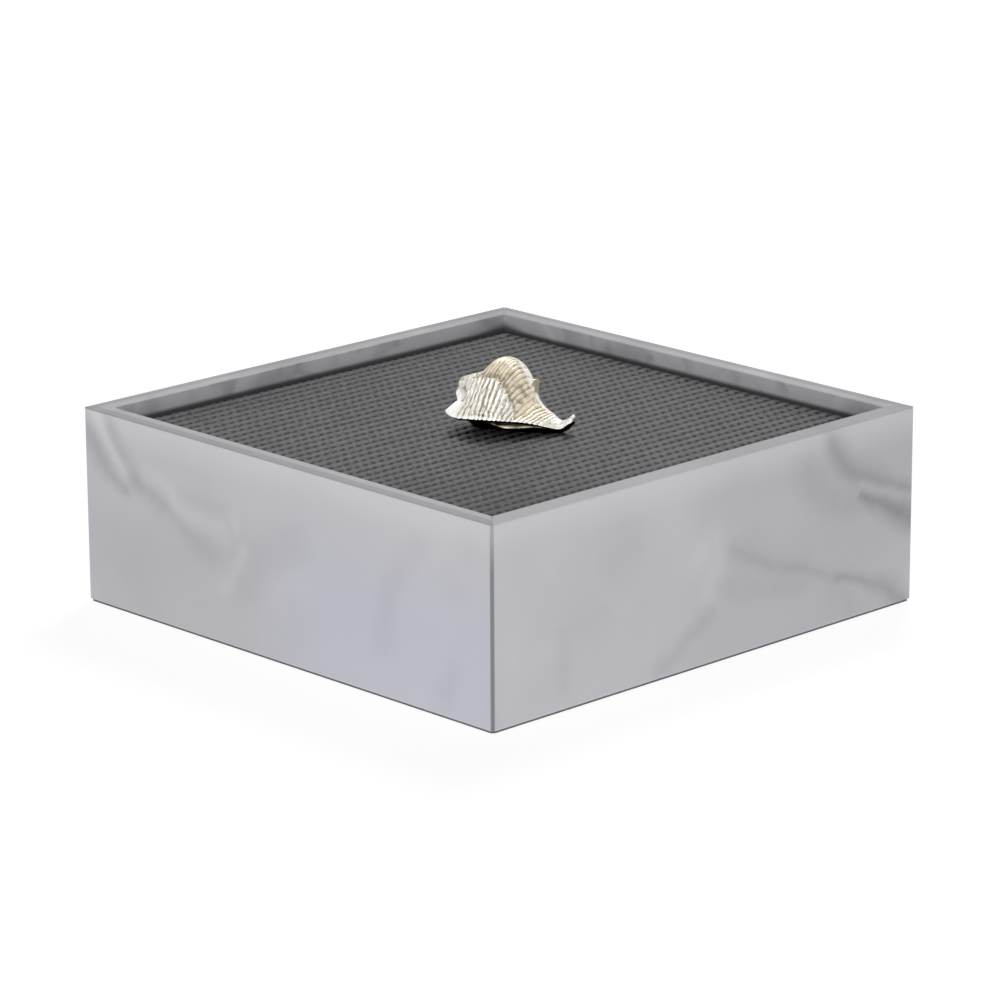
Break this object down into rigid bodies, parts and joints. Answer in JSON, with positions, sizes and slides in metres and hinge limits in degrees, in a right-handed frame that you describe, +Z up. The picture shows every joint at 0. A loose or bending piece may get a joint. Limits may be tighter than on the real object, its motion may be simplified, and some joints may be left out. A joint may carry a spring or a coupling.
{
  "type": "lidded box",
  "caption": "Low square marble box with mitred walls and a recessed lift-off lid covered in woven-embossed leather, with a cast seashell as its knob.",
  "frame": {"origin": "on the floor under the middle of the box", "axes": "+Z up; X and Y along the walls, with wall_front on the -Y side and wall_right on the +X side"},
  "size_m": [0.27, 0.27, 0.1172],
  "materials": {
    "marble": "honed light grey marble with soft grey and white veins",
    "seam": "grey stone adhesive",
    "felt": "dark grey felt",
    "card": "bookbinder's board",
    "suede": "charcoal suede",
    "board": "fibreboard",
    "leather": "black leather embossed with a fine woven grain",
    "cast_metal": "cast, nickel-plated brass with a pale champagne tone",
    "steel": "zinc-plated steel"
  },
  "bodies": {
    "case": {"wall_front": "marble", "lining_card_front": "card", "lining_suede_front": "suede", "wall_right": "marble", "lining_card_right": "card", "lining_suede_right": "suede", "wall_rear": "marble", "lining_card_rear": "card", "lining_suede_rear": "suede", "wall_left": "marble", "lining_card_left": "card", "lining_suede_left": "suede", "corner_seams": "seam", "base_slab": "marble", "base_felt": "felt", "floor_card": "card", "floor_suede": "suede"},
    "lid": {"lid_board": "board", "lid_leather": "leather", "lid_filler_card": "card", "lid_suede": "suede", "shell_knob": "cast_metal", "knob_screws": "steel", "knob_washers": "steel"}
  },
  "joints": [
    {"name": "lid_lift", "type": "slide", "parent": "case", "child": "lid", "axis": [0, 0, 1], "range_m": [0, 0.12]}
  ]
}
